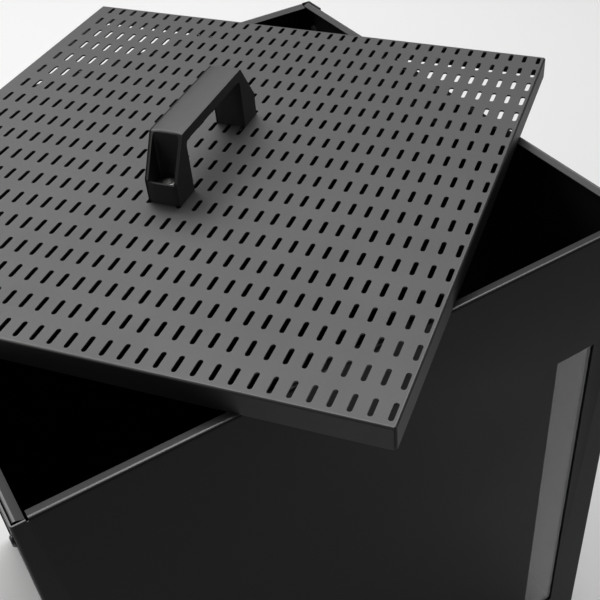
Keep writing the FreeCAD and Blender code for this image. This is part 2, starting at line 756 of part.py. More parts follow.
SUB_PART_KINDS = ("PartDesign::Body", "Part::Cut", "Part::Box", "Part::Prism", "Part::Feature")
HELPERS = {"lid_tray", "lid_field", "lid_frame", "lid_drills"}
HELPERS |= {helper.Label for helper in strip_helpers}
doc.recompute()
for item in doc.Objects:
    if {"Invalid", "Error"} & set(item.State):
        raise RuntimeError(f"{item.Name} failed: {item.State}")

os.makedirs("parts", exist_ok=True)
for item in doc.Objects:
    if item.TypeId not in SUB_PART_KINDS or item.Label in HELPERS:
        continue
    if item.Shape.isNull() or not item.Shape.isValid() or not item.Shape.Solids:
        raise RuntimeError(f"{item.Label} has no sound shape")
    item.Shape.exportStep(os.path.join("parts", f"{item.Label}.step"))
    print(f"{item.Label}: {len(item.Shape.Solids)} solids, {item.Shape.Volume / 1000:.1f} cm3")
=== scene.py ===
import math

import bmesh
import bpy
from mathutils import Matrix, Vector


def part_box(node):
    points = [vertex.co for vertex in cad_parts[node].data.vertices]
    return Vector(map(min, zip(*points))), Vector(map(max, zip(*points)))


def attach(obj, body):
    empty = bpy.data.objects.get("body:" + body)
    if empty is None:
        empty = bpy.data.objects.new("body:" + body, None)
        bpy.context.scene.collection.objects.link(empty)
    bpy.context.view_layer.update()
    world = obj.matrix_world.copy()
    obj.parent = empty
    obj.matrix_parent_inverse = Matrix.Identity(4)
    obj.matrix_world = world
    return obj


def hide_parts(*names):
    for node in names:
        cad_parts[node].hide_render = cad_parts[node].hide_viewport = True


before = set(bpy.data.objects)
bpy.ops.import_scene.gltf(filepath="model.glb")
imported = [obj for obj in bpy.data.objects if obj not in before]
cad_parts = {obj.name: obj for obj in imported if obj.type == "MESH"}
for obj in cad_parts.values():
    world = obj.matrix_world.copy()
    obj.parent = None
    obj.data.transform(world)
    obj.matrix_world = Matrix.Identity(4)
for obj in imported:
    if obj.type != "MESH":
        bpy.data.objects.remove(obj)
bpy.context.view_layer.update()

# Front and back sheets: 1 mm steel, powder coated in satin black after folding. Each is folded
# round the sides and has its top and bottom edges folded in. The window is cut in the front one.

MM = 0.001
WELD = 0.004 * MM
CUT_EDGE = 0.18 * MM
EDGE_STEPS = 2
FLAT_ANGLE = math.radians(0.5)
CUT_ANGLE = math.radians(40)
SMOOTH_ANGLE = math.radians(32)
COAT_DARK = (0.0080, 0.0080, 0.0084, 1.0)
COAT_PALE = (0.0110, 0.0110, 0.0114, 1.0)
COAT_GRAINS = 900
COAT_CLOUDS = 14
COAT_DEPTH = 0.12 * MM
DARK_CLOUD, PALE_CLOUD = 0.35, 0.65
GLOSS_START, GLOSS_END = 0.3, 0.7
RIM_DEPTH = 2.4 * MM
RUBBED_DEPTH = 0.4 * MM
RUBBED_TILT = 0.8
RIM_INDEX, RUBBED_INDEX = 1, 2
RELIEF_INSET = 7.1 * MM
RELIEF_WIDTH = 1.0 * MM
RELIEF_DEPTH = 4.0 * MM
RELIEF_OPEN = 1.4 * MM


def wire(tree, kind, inputs=(), **settings):
    """A new node with its settings made, and its inputs set to values or linked to sockets."""
    node = tree.nodes.new(kind)
    for name, value in settings.items():
        setattr(node, name, value)
    for name, value in dict(inputs).items():
        if isinstance(value, bpy.types.NodeSocket):
            tree.links.new(value, node.inputs[name])
        else:
            node.inputs[name].default_value = value
    return node


def new_group(name, kind, inputs, outputs):
    """A node group with named sockets, and its input and output nodes."""
    group = bpy.data.node_groups.new(name, kind)
    for side, sockets in (("INPUT", inputs), ("OUTPUT", outputs)):
        for title, sort in sockets:
            group.interface.new_socket(title, in_out=side, socket_type=f"NodeSocket{sort}")
    return group, wire(group, "NodeGroupInput"), wire(group, "NodeGroupOutput")


def make_fine_grain():
    """Fine pimples, and slow clouds of tone, spread evenly through the piece."""
    group, given, result = new_group(
        "fine_grain",
        "ShaderNodeTree",
        [("Grains", "Float"), ("Clouds", "Float")],
        [("Height", "Float"), ("Tone", "Float")],
    )
    where = wire(group, "ShaderNodeTexCoord").outputs["Object"]
    pimples = wire(group, "ShaderNodeTexNoise", {
        "Vector": where, "Scale": given.outputs["Grains"], "Detail": 2.0, "Roughness": 0.55})
    clouds = wire(group, "ShaderNodeTexNoise", {
        "Vector": where, "Scale": given.outputs["Clouds"], "Detail": 3.0, "Roughness": 0.6})
    group.links.new(pimples.outputs["Fac"], result.inputs["Height"])
    group.links.new(clouds.outputs["Fac"], result.inputs["Tone"])
    return group


fine_grain = make_fine_grain()


def new_finish(name, **sockets):
    """A material with its Principled shader, whose even values are set on the shader itself."""
    finish = bpy.data.materials.new(name)
    finish.use_nodes = True
    shader = finish.node_tree.nodes["Principled BSDF"]
    for title, value in sockets.items():
        shader.inputs[title.replace("_", " ")].default_value = value
    return finish, finish.node_tree, shader


def drift_gloss(tree, shader, tone, rough_low, rough_high):
    """Lets the roughness follow the clouds of tone."""
    gloss = wire(tree, "ShaderNodeMapRange", {
        "Value": tone, "From Min": GLOSS_START, "From Max": GLOSS_END,
        "To Min": rough_low, "To Max": rough_high})
    tree.links.new(gloss.outputs["Result"], shader.inputs["Roughness"])


def grained_finish(name, dark, pale, rough_low, rough_high, grains, clouds, bump, depth, **sockets):
    """A coat, plastic or rubber: tone and gloss drift slowly, and fine pimples stand on it."""
    finish, tree, shader = new_finish(name, **sockets)
    grain = wire(tree, "ShaderNodeGroup", {"Grains": grains, "Clouds": clouds}, node_tree=fine_grain)
    ramp = wire(tree, "ShaderNodeValToRGB", {"Fac": grain.outputs["Tone"]})
    for stop, place, tone in zip(ramp.color_ramp.elements, (DARK_CLOUD, PALE_CLOUD), (dark, pale)):
        stop.position = place
        stop.color = tone
    pimples = wire(tree, "ShaderNodeBump", {
        "Strength": bump, "Distance": depth, "Height": grain.outputs["Height"]})
    tree.links.new(ramp.outputs["Color"], shader.inputs["Base Color"])
    tree.links.new(pimples.outputs["Normal"], shader.inputs["Normal"])
    drift_gloss(tree, shader, grain.outputs["Tone"], rough_low, rough_high)
    return finish


def coat_finish(name, rough_low, rough_high, bump, gloss):
    """The satin black powder coat, as dull or as rubbed as its place makes it."""
    return grained_finish(
        name, COAT_DARK, COAT_PALE, rough_low, rough_high, grains=COAT_GRAINS, clouds=COAT_CLOUDS,
        bump=bump, depth=COAT_DEPTH, Specular_IOR_Level=gloss)


wall_coat = coat_finish("wall_coat", 0.52, 0.58, bump=0.10, gloss=0.2)
rim_coat = coat_finish("rim_coat", 0.52, 0.58, bump=0.10, gloss=0.52)
rubbed_coat = coat_finish("rubbed_coat", 0.34, 0.42, bump=0.06, gloss=0.95)


def add_piece(name, mesh):
    """A new object at the origin that shows the mesh."""
    piece = bpy.data.objects.new(name, mesh)
    bpy.context.scene.collection.objects.link(piece)
    return piece


def settle(piece):
    """Makes what the modifiers show the piece's own plain mesh."""
    graph = bpy.context.evaluated_depsgraph_get()
    shown = bpy.data.meshes.new_from_object(piece.evaluated_get(graph), depsgraph=graph)
    piece.modifiers.clear()
    piece.data = shown


def shade(piece):
    """Smooth shading between the true edges, in which wide faces keep their own direction."""
    piece.data.shade_smooth()
    piece.data.set_sharp_from_angle(angle=SMOOTH_ANGLE)
    wide = piece.modifiers.new("wide_faces", "WEIGHTED_NORMAL")
    wide.keep_sharp = True
    settle(piece)


def merged_piece(node, name, finish):
    """A copy of a CAD node's mesh as one skin, with its flat faces whole and one finish."""
    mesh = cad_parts[node].data.copy()
    mesh.name = name
    skin = bmesh.new()
    skin.from_mesh(mesh)
    bmesh.ops.remove_doubles(skin, verts=skin.verts, dist=WELD)
    bmesh.ops.dissolve_limit(skin, angle_limit=FLAT_ANGLE, verts=skin.verts, edges=skin.edges)
    skin.to_mesh(mesh)
    skin.free()
    mesh.materials.clear()
    mesh.materials.append(finish)
    return add_piece(name, mesh)


def finish_piece(piece, body, slot, *nodes):
    """Shades the piece, and says what it rides on and what it stands for. The slot is not used."""
    shade(piece)
    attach(piece, body)
    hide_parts(*nodes)


def sheet_piece(node, name):
    """A folded sheet from its CAD node, with the coat's rounding on its cut edges."""
    piece = merged_piece(node, name, wall_coat)
    rounding = piece.modifiers.new("coat_rounding", "BEVEL")
    rounding.width = CUT_EDGE
    rounding.segments = EDGE_STEPS
    rounding.limit_method = "ANGLE"
    rounding.angle_limit = CUT_ANGLE
    settle(piece)
    finish_piece(piece, "container", "black_coat", node)
    return piece


def add_worn_coats(piece):
    """Puts the rim's coat and the rubbed coat beside the piece's own."""
    piece.data.materials.append(rim_coat)
    piece.data.materials.append(rubbed_coat)


def rub_rim(piece):
    """The lid slides over the folded rim, and rubs its level top smoother than its slope."""
    add_worn_coats(piece)
    top = max(vertex.co.z for vertex in piece.data.vertices)
    for face in piece.data.polygons:
        depth = top - face.center.z
        if depth < RIM_DEPTH and face.normal.z > RUBBED_TILT:
            face.material_index = RUBBED_INDEX if depth < RUBBED_DEPTH else RIM_INDEX


def close_relief(piece):
    """The coat bridges the foot of the narrow gap beside the folded rim; only its top is open."""
    across = [vertex.co.x for vertex in piece.data.vertices]
    middle, half = (max(across) + min(across)) / 2, (max(across) - min(across)) / 2
    top = max(vertex.co.z for vertex in piece.data.vertices)
    for vertex in piece.data.vertices:
        beside = abs(half - abs(vertex.co.x - middle) - RELIEF_INSET)
        if beside < RELIEF_WIDTH and abs(top - vertex.co.z - RELIEF_DEPTH) < RELIEF_WIDTH / 2:
            vertex.co.z += RELIEF_DEPTH - RELIEF_OPEN


for node, name in (("front_panel", "front_sheet"), ("back_panel", "back_sheet")):
    sheet = sheet_piece(node, name)
    close_relief(sheet)
    rub_rim(sheet)

# Side sheets: the same coated steel, flat, inside the returns of the front and back sheets, with
# the top and bottom edges folded in. The corner screws hold them.

for node, name in (("left_side_panel", "left_side_sheet"), ("right_side_panel", "right_side_sheet")):
    rub_rim(sheet_piece(node, name))

# Floor tray: one sheet of the same coated steel with its four edges turned up. It is laid inside
# the walls, on their folded bottom edges.

sheet_piece("floor_panel", "floor_tray")

# Feet: four round pads of black rubber, moulded with a rounded lower edge. They are stuck under
# the folded bottom edges of the walls, near the corners.

FEET = ("front_left_foot", "front_right_foot", "back_left_foot", "back_right_foot")
FOOT_STEPS = 40
FOOT_EDGE = 1.6 * MM
FOOT_EDGE_BENDS = (0.3, 0.7, 1.0)
FOOT_INSET = 0.2 * MM
FOOT_TAPER = 0.9
UP = Vector((0, 0, 1))

rubber = grained_finish(
    "foot_rubber", (0.010, 0.010, 0.010, 1.0), (0.018, 0.018, 0.018, 1.0), 0.62, 0.78,
    grains=1400, clouds=60, bump=0.25, depth=0.1 * MM)


def ring(radius, height, steps):
    """A level ring of points about the Z axis; radius is a number or a rule of the turn."""
    points = []
    for step in range(steps):
        turn = 2 * math.pi * step / steps
        reach = radius(turn) if callable(radius) else radius
        points.append(Vector((reach * math.cos(turn), reach * math.sin(turn), height)))
    return points


def bridge(skin, loops):
    """Joins each loop of points to the next with a band of faces."""
    for near, far in zip(loops, loops[1:]):
        for index in range(len(near)):
            after = (index + 1) % len(near)
            skin.faces.new((near[index], near[after], far[after], far[index]))


def mesh_of_rings(name, rings, hole=False):
    """A closed mesh through rings of equal count; round a hole, the last ring joins the first."""
    mesh = bpy.data.meshes.new(name)
    skin = bmesh.new()
    loops = [[skin.verts.new(point) for point in points] for points in rings]
    bridge(skin, loops + loops[:1] if hole else loops)
    if not hole:
        skin.faces.new(list(reversed(loops[0])))
        skin.faces.new(loops[-1])
    skin.to_mesh(mesh)
    skin.free()
    return mesh


def make_fastener_tree():
    """Stands a copy of one small piece on each point, along the point's own axis."""
    tree, given, result = new_group(
        "set_on_points",
        "GeometryNodeTree",
        [("Points", "Geometry"), ("Small Piece", "Object"), ("Finish", "Material")],
        [("Geometry", "Geometry")],
    )
    shape = wire(tree, "GeometryNodeObjectInfo", {"Object": given.outputs["Small Piece"]})
    axis = wire(tree, "GeometryNodeInputNamedAttribute", {"Name": "axis"}, data_type="FLOAT_VECTOR")
    turn = wire(tree, "FunctionNodeAlignRotationToVector", {
        "Vector": axis.outputs["Attribute"]}, axis="Z")
    copies = wire(tree, "GeometryNodeInstanceOnPoints", {
        "Points": given.outputs["Points"],
        "Instance": shape.outputs["Geometry"],
        "Rotation": turn.outputs["Rotation"],
    })
    real = wire(tree, "GeometryNodeRealizeInstances", {"Geometry": copies.outputs["Instances"]})
    painted = wire(tree, "GeometryNodeSetMaterial", {
        "Geometry": real.outputs["Geometry"], "Material": given.outputs["Finish"]})
    tree.links.new(painted.outputs["Geometry"], result.inputs["Geometry"])
    return tree


set_on_points = make_fastener_tree()


def give_input(modifier, title, value):
    """Sets a tree's input by the identifier of its named socket."""
    for item in modifier.node_group.interface.items_tree:
        if item.name == title and item.in_out == "INPUT":
            modifier[item.identifier] = value


def group_piece(name, small_mesh, places, finish):
    """One mesh with a copy of a small piece at each (point, axis)."""
    mesh = bpy.data.meshes.new(name)
    mesh.from_pydata([point for point, axis in places], [], [])
    axes = mesh.attributes.new("axis", "FLOAT_VECTOR", "POINT")
    for index, (point, axis) in enumerate(places):
        axes.data[index].vector = axis
    piece = add_piece(name, mesh)
    sample = add_piece(f"{name}_sample", small_mesh)
    stand = piece.modifiers.new("stand", "NODES")
    stand.node_group = set_on_points
    give_input(stand, "Small Piece", sample)
    give_input(stand, "Finish", finish)
    settle(piece)
    bpy.data.objects.remove(sample)
    return piece


foot_places = []
for node in FEET:
    low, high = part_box(node)
    middle = (low + high) / 2
    foot_places.append((Vector((middle.x, middle.y, low.z)), UP))
foot_radius = (high.x - low.x) / 2 - FOOT_INSET
foot_height = high.z - low.z
foot_rings = [ring(foot_radius - FOOT_EDGE, 0, FOOT_STEPS)]
for part in FOOT_EDGE_BENDS:
    bend = part * math.pi / 2
    reach = foot_radius - FOOT_EDGE + FOOT_EDGE * math.sin(bend)
    foot_rings.append(ring(reach, FOOT_EDGE * (1 - math.cos(bend)), FOOT_STEPS))
foot_rings.append(ring(foot_radius * FOOT_TAPER, foot_height, FOOT_STEPS))
feet = group_piece("rubber_feet", mesh_of_rings("foot", foot_rings), foot_places, rubber)
finish_piece(feet, "container", "rubber_feet", *FEET)

# Sight pane: a clear acrylic strip behind the window. It slides down between two stepped guides
# and stands on an angle, all three of coated sheet and welded to the front sheet.

PANE_TONE = (0.92, 0.92, 0.95, 1.0)
PANE_IOR = 1.49
PANE_CLOUDS = 30
PANE_EDGE = 0.3 * MM

pane_finish, pane_tree, pane_shader = new_finish(
    "clear_acrylic", Transmission_Weight=1.0, IOR=PANE_IOR, Base_Color=PANE_TONE)
pane_grain = wire(pane_tree, "ShaderNodeGroup", {"Clouds": PANE_CLOUDS}, node_tree=fine_grain)
drift_gloss(pane_tree, pane_shader, pane_grain.outputs["Tone"], 0.02, 0.06)

pane = merged_piece("window_pane", "sight_pane", pane_finish)
polish = pane.modifiers.new("polished_edge", "BEVEL")
polish.width = PANE_EDGE
polish.segments = EDGE_STEPS
settle(pane)
finish_piece(pane, "container", "clear_pane", "window_pane")

sheet_piece("left_pane_guide", "left_guide")
sheet_piece("right_pane_guide", "right_guide")
sheet_piece("pane_stop", "pane_rest")

# Lid ledges: four short angles of coated sheet, on which the closed lid would rest. Each is welded
# inside the middle of a wall, one skirt below the rim.

for side in ("front", "right", "back", "left"):
    sheet_piece(f"{side}_lid_ledge", f"{side}_ledge")

# Corner screws and nuts: M3 button heads in black oxide, from outside through a return and a side
# sheet, each with a bright zinc nut inside.

SCREW_STEPS = 24
SCREW_DROP = 18.7 * MM
SCREW_RISE = 40.0 * MM
SCREW_INSET = 9.5 * MM
WALL_GRIP = 2.0 * MM
HEAD_ROUND = 0.2 * MM
HEAD_STEPS = 5
SOCKET_POINT = 0.2
NUT_CLEAR = 0.1 * MM
NUT_CHAMFER = 0.51
NUT_DROP = 0.07
CORNER_THREAD = {
    "shank": 1.5 * MM, "groove": 0.2 * MM, "pitch": 0.5 * MM,
    "head": 2.85 * MM, "head_rim": 0.45 * MM, "head_height": 1.65 * MM, "head_flat": 1.6 * MM,
    "socket": 2.0 * MM, "socket_depth": 1.0 * MM,
    "nut": 5.5 * MM, "nut_height": 2.4 * MM, "tail": 1.2 * MM,
}


def metal_finish(name, dark, pale, rough_low, rough_high):
    """Plated or blackened steel: fine turning marks, and a tone that drifts."""
    return grained_finish(
        name, dark, pale, rough_low, rough_high, grains=2600, clouds=300, bump=0.06,
        depth=0.05 * MM, Metallic=1.0)


black_oxide = metal_finish(
    "black_oxide", (0.045, 0.045, 0.05, 1), (0.085, 0.085, 0.09, 1), 0.26, 0.40)
zinc_plate = metal_finish(
    "zinc_plate", (0.66, 0.66, 0.64, 1), (0.82, 0.82, 0.80, 1), 0.28, 0.42)


def hexagon(flats, most=math.inf):
    """The reach of a hexagon at a turn, or of a circle of radius most where that is less."""
    def reach(turn):
        off = (turn + math.pi / 6) % (math.pi / 3) - math.pi / 6
        return min(flats / 2 / math.cos(off), most)
    return reach


def screw_mesh(name, thread, length):
    """A button-head screw along +Z, whose head stands on z = 0, with thread and hexagon socket."""
    shank, pitch, head = thread["shank"], thread["pitch"], thread["head"]
    root = shank - thread["groove"]
    rings = [ring(root, -length, SCREW_STEPS)]
    height = -length + pitch / 2
    while height < -pitch:
        rings.append(ring(shank, height, SCREW_STEPS))
        rings.append(ring(root, height + pitch / 2, SCREW_STEPS))
        height += pitch
    rings.append(ring(root, 0, SCREW_STEPS))
    rings.append(ring(head - HEAD_ROUND, 0, SCREW_STEPS))
    rings.append(ring(head, HEAD_ROUND, SCREW_STEPS))
    rim, top, flat = thread["head_rim"], thread["head_height"], thread["head_flat"]
    for step in range(HEAD_STEPS + 1):
        bend = step / HEAD_STEPS * math.pi / 2
        reach = flat + (head - flat) * math.cos(bend)
        rings.append(ring(reach, rim + (top - rim) * math.sin(bend), SCREW_STEPS))
    flats, socket_floor = thread["socket"], top - thread["socket_depth"]
    rings.append(ring(hexagon(flats + HEAD_ROUND), top, SCREW_STEPS))
    rings.append(ring(hexagon(flats), top - HEAD_ROUND, SCREW_STEPS))
    rings.append(ring(hexagon(flats), socket_floor, SCREW_STEPS))
    rings.append(ring(flats * SOCKET_POINT, socket_floor - HEAD_ROUND, SCREW_STEPS))
    return mesh_of_rings(name, rings)


def nut_mesh(name, thread):
    """A hexagon nut that stands on z = 0, chamfered at both ends."""
    bore, flats, height = thread["shank"] + NUT_CLEAR, thread["nut"], thread["nut_height"]
    chamfer, drop, sink = flats * NUT_CHAMFER, flats * NUT_DROP, thread["pitch"] / 2
    return mesh_of_rings(name, [
        ring(bore + sink, 0, SCREW_STEPS),
        ring(hexagon(flats, chamfer), 0, SCREW_STEPS),
        ring(hexagon(flats), drop, SCREW_STEPS),
        ring(hexagon(flats), height - drop, SCREW_STEPS),
        ring(hexagon(flats, chamfer), height, SCREW_STEPS),
        ring(bore + sink, height, SCREW_STEPS),
        ring(bore, height - sink, SCREW_STEPS),
        ring(bore, sink, SCREW_STEPS),
    ], hole=True)


front_low, front_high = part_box("front_panel")
back_low, back_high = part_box("back_panel")
screw_places = []
nut_places = []
for face, out in ((front_low.x, -1), (front_high.x, 1)):
    for along in (front_low.y + SCREW_INSET, back_high.y - SCREW_INSET):
        for height in (front_high.z - SCREW_DROP, front_low.z + SCREW_RISE):
            screw_places.append((Vector((face, along, height)), Vector((out, 0, 0))))
            inside = Vector((face - out * WALL_GRIP, along, height))
            nut_places.append((inside, Vector((-out, 0, 0))))
corner_length = WALL_GRIP + CORNER_THREAD["nut_height"] + CORNER_THREAD["tail"]
corner_screw = screw_mesh("corner_screw", CORNER_THREAD, corner_length)
corner_screws = group_piece("corner_button_screws", corner_screw, screw_places, black_oxide)
finish_piece(corner_screws, "container", "black_screws", "corner_screws")
corner_nut = nut_mesh("corner_nut", CORNER_THREAD)
corner_nuts = group_piece("corner_hex_nuts", corner_nut, nut_places, zinc_plate)
finish_piece(corner_nuts, "container", "zinc_hardware", "corner_nuts")

# Lid: one coated 1 mm sheet, punched flat with rows of round-ended slots and then folded down
# along its four sides. It lies loose and askew on the rim.

LID_WIDTH = 330.0 * MM
LID_DEPTH = 336.0 * MM
LID_GAUGE = 1.0 * MM
LID_FOLD = 1.3 * MM
LID_CORNER = 0.1 * MM
LID_TURN = math.radians(-52.2)
FOLD_STEPS = 5
FOLD_NEAR = 0.001 * MM
RUBBED_FOLD = 0.5
COLUMNS = 36
FRONT_STEPS = 4
INNER_STEPS = 10
BACK_STEPS = 3
COLUMN_PITCH = 9.0 * MM
COLUMN_SHIFT = 3.7 * MM
OUTER_PITCH = 18.27 * MM
INNER_PITCH = 19.35 * MM
SLOT_WIDTH = 2.6 * MM
SLOT_LENGTH = 10.5 * MM
SLOT_END_SHARE = 0.4999
SLOT_END_POINTS = 4
SLOT_MARGIN = 1.1 * MM
FIRST_ROW = 8.9 * MM
HANDLE_SCREWS = 43.2 * MM
SCREW_CLEAR = 5.0 * MM

lid_coat = coat_finish("lid_coat", 0.52, 0.58, bump=0.10, gloss=1.0)

lid_low, lid_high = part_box("lid_panel")
lid_skirt = lid_high.z - lid_low.z
plate_width = LID_WIDTH / 2 - LID_FOLD
plate_depth = LID_DEPTH / 2 - LID_FOLD
fold_run = LID_FOLD * math.pi / 2
flap_run = fold_run + lid_skirt - LID_FOLD
punch_sizes = {
    "Columns": COLUMNS, "Front Steps": FRONT_STEPS, "Inner Steps": INNER_STEPS,
    "Back Steps": BACK_STEPS, "Column Pitch": COLUMN_PITCH, "Column Shift": COLUMN_SHIFT,
    "Outer Pitch": OUTER_PITCH, "Inner Pitch": INNER_PITCH,
    "First Row": FIRST_ROW - LID_DEPTH / 2, "Back Limit": plate_depth - SLOT_MARGIN,
    "Slot Width": SLOT_WIDTH, "Slot Length": SLOT_LENGTH,
    "Screw Row": HANDLE_SCREWS, "Screw Clear": SCREW_CLEAR,
}


def make_punch_tree():
    """Fills a flat outline and leaves slots open in straight columns; the last row is shorter."""
    tree, given, result = new_group(
        "punch_slots",
        "GeometryNodeTree",
        [("Blank", "Geometry"), *((title, "Float") for title in punch_sizes), ("Finish", "Material")],
        [("Geometry", "Geometry")],
    )
    size = given.outputs

    def calc(operation, first, second=0.0):
        return wire(tree, "ShaderNodeMath", {0: first, 1: second}, operation=operation).outputs[0]

    # Column and row of each slot, and its place on the blank.
    index = wire(tree, "GeometryNodeInputIndex").outputs[0]
    column = calc("FLOORED_MODULO", index, size["Columns"])
    row = calc("FLOOR", calc("DIVIDE", index, size["Columns"]))
    middle_column = calc("MULTIPLY", calc("SUBTRACT", size["Columns"], 1.0), 0.5)
    from_middle = calc("MULTIPLY", calc("SUBTRACT", column, middle_column), size["Column Pitch"])
    across = calc("ADD", from_middle, size["Column Shift"])
    past_front = calc("MAXIMUM", calc("SUBTRACT", row, size["Front Steps"]), 0.0)
    inner = calc("MINIMUM", past_front, size["Inner Steps"])
    outer = calc("SUBTRACT", row, inner)
    inner_run = calc("MULTIPLY", inner, size["Inner Pitch"])
    run = calc("ADD", inner_run, calc("MULTIPLY", outer, size["Outer Pitch"]))
    along = calc("ADD", size["First Row"], run)
    steps = calc("ADD", calc("ADD", size["Front Steps"], size["Inner Steps"]), size["Back Steps"])
    count = calc("MULTIPLY", size["Columns"], calc("ADD", steps, 1.0))
    half_slot = calc("MULTIPLY", size["Slot Length"], 0.5)
    near_end = calc("SUBTRACT", along, half_slot)
    far_end = calc("MINIMUM", calc("ADD", along, half_slot), size["Back Limit"])
    middle = calc("MULTIPLY", calc("ADD", near_end, far_end), 0.5)
    place = wire(tree, "ShaderNodeCombineXYZ", {"X": across, "Y": middle})
    points = wire(tree, "GeometryNodePoints", {"Count": count, "Position": place.outputs[0]})

    # No slot is punched where a handle screw passes.
    position = wire(tree, "GeometryNodeInputPosition").outputs[0]
    where = wire(tree, "ShaderNodeSeparateXYZ", {0: position})
    half_width = calc("MULTIPLY", size["Slot Width"], 0.5)
    to_side = calc("SUBTRACT", calc("ABSOLUTE", where.outputs["X"]), half_width)
    from_row = calc("SUBTRACT", calc("ABSOLUTE", where.outputs["Y"]), size["Screw Row"])
    to_end = calc("SUBTRACT", calc("ABSOLUTE", from_row), half_slot)
    in_way = calc("LESS_THAN", calc("MAXIMUM", to_side, to_end), size["Screw Clear"])
    kept = wire(tree, "GeometryNodeDeleteGeometry", {
        "Geometry": points.outputs[0], "Selection": in_way}, domain="POINT")

    # The slots' outlines, cut short before the back fold.
    slot = wire(tree, "GeometryNodeCurvePrimitiveQuadrilateral", {
        "Width": size["Slot Width"], "Height": size["Slot Length"]})
    ends = wire(tree, "GeometryNodeFilletCurve", {
        "Curve": slot.outputs[0], "Count": SLOT_END_POINTS, "Limit Radius": True,
        "Radius": calc("MULTIPLY", size["Slot Width"], SLOT_END_SHARE)}, mode="POLY")
    room = calc("MULTIPLY", calc("SUBTRACT", size["Back Limit"], where.outputs["Y"]), 2.0)
    share = calc("MINIMUM", calc("DIVIDE", room, size["Slot Length"]), 1.0)
    stretch = wire(tree, "ShaderNodeCombineXYZ", {"X": 1.0, "Y": share, "Z": 1.0})
    slots = wire(tree, "GeometryNodeInstanceOnPoints", {
        "Points": kept.outputs[0], "Instance": ends.outputs[0], "Scale": stretch.outputs[0]})
    real = wire(tree, "GeometryNodeRealizeInstances", {"Geometry": slots.outputs[0]})
    outline = wire(tree, "GeometryNodeMeshToCurve", {"Mesh": size["Blank"]})
    loops = wire(tree, "GeometryNodeJoinGeometry", {"Geometry": real.outputs[0]})
    tree.links.new(outline.outputs[0], loops.inputs["Geometry"])
    filled = wire(tree, "GeometryNodeFillCurve", {"Curve": loops.outputs[0]})
    solid = wire(tree, "GeometryNodeRealizeInstances", {"Geometry": filled.outputs[0]})
    painted = wire(tree, "GeometryNodeSetMaterial", {
        "Geometry": solid.outputs[0], "Material": size["Finish"]})
    tree.links.new(painted.outputs[0], result.inputs["Geometry"])
    return tree


def folded(reach, depth, plate):
    """Where a distance on the flat blank comes to lie, at a depth in the sheet: (out, drop)."""
    bend = min(max(abs(reach) - plate, 0.0), fold_run) / LID_FOLD
    skirt = max(abs(reach) - plate - fold_run, 0.0)
    out = min(abs(reach), plate) + (LID_FOLD - depth) * math.sin(bend)
    drop = (LID_FOLD - depth) * (1 - math.cos(bend)) + skirt
    return math.copysign(out, reach), drop


def fold_blank(mesh):
    """Gives the flat blank its gauge and bends its four flaps down."""
    skin = bmesh.new()
    skin.from_mesh(mesh)
    if skin.faces[:][0].normal.z < 0:
        bmesh.ops.reverse_faces(skin, faces=skin.faces)
    bmesh.ops.solidify(skin, geom=skin.faces[:], thickness=LID_GAUGE)
    for axis, plate in ((Vector((1, 0, 0)), plate_width), (Vector((0, 1, 0)), plate_depth)):
        for step in range(FOLD_STEPS + 1):
            line = plate + fold_run * step / FOLD_STEPS
            for side in (-1, 1):
                whole = skin.verts[:] + skin.edges[:] + skin.faces[:]
                bmesh.ops.bisect_plane(
                    skin, geom=whole, dist=FOLD_NEAR, plane_co=axis * side * line, plane_no=axis)
    for vertex in skin.verts:
        depth = -vertex.co.z
        across, drop_across = folded(vertex.co.x, depth, plate_width)
        along, drop_along = folded(vertex.co.y, depth, plate_depth)
        vertex.co = Vector((across, along, max(-depth - drop_across - drop_along, -lid_skirt)))
    skin.to_mesh(mesh)
    skin.free()


flap_width, flap_depth = plate_width + LID_CORNER, plate_depth + LID_CORNER
blank_width, blank_depth = plate_width + flap_run, plate_depth + flap_run
blank_quarter = [(blank_width, flap_depth), (flap_width, flap_depth), (flap_width, blank_depth)]
blank_corners = []
for turn_x, turn_y in ((1, 1), (-1, 1), (-1, -1), (1, -1)):
    quarter = [(turn_x * x, turn_y * y) for x, y in blank_quarter]
    blank_corners += quarter if turn_x == turn_y else reversed(quarter)
blank_mesh = bpy.data.meshes.new("slotted_lid")
blank_edges = [(index, (index + 1) % len(blank_corners)) for index in range(len(blank_corners))]
blank_mesh.from_pydata([(x, y, 0) for x, y in blank_corners], blank_edges, [])
lid = add_piece("slotted_lid", blank_mesh)
punch = lid.modifiers.new("punch", "NODES")
punch.node_group = make_punch_tree()
for title, value in punch_sizes.items():
    give_input(punch, title, float(value))
give_input(punch, "Finish", lid_coat)
settle(lid)
fold_blank(lid.data)
add_worn_coats(lid)
for face in lid.data.polygons:
    if abs(face.center.x) > plate_width or abs(face.center.y) > plate_depth:
        rubbed = face.center.z > -LID_FOLD and face.normal.z > RUBBED_FOLD
        face.material_index = RUBBED_INDEX if rubbed else RIM_INDEX
lid_place = Matrix.Translation((0, 0, lid_high.z)) @ Matrix.Rotation(LID_TURN, 4, "Z")
lid.data.transform(lid_place)
finish_piece(lid, "lid", "black_coat", "lid_panel")

# Handle: a moulded black plastic bridge with sloping ends. Each end is open to a pocket, and a
# screw through the pocket's floor holds the handle on the lid.

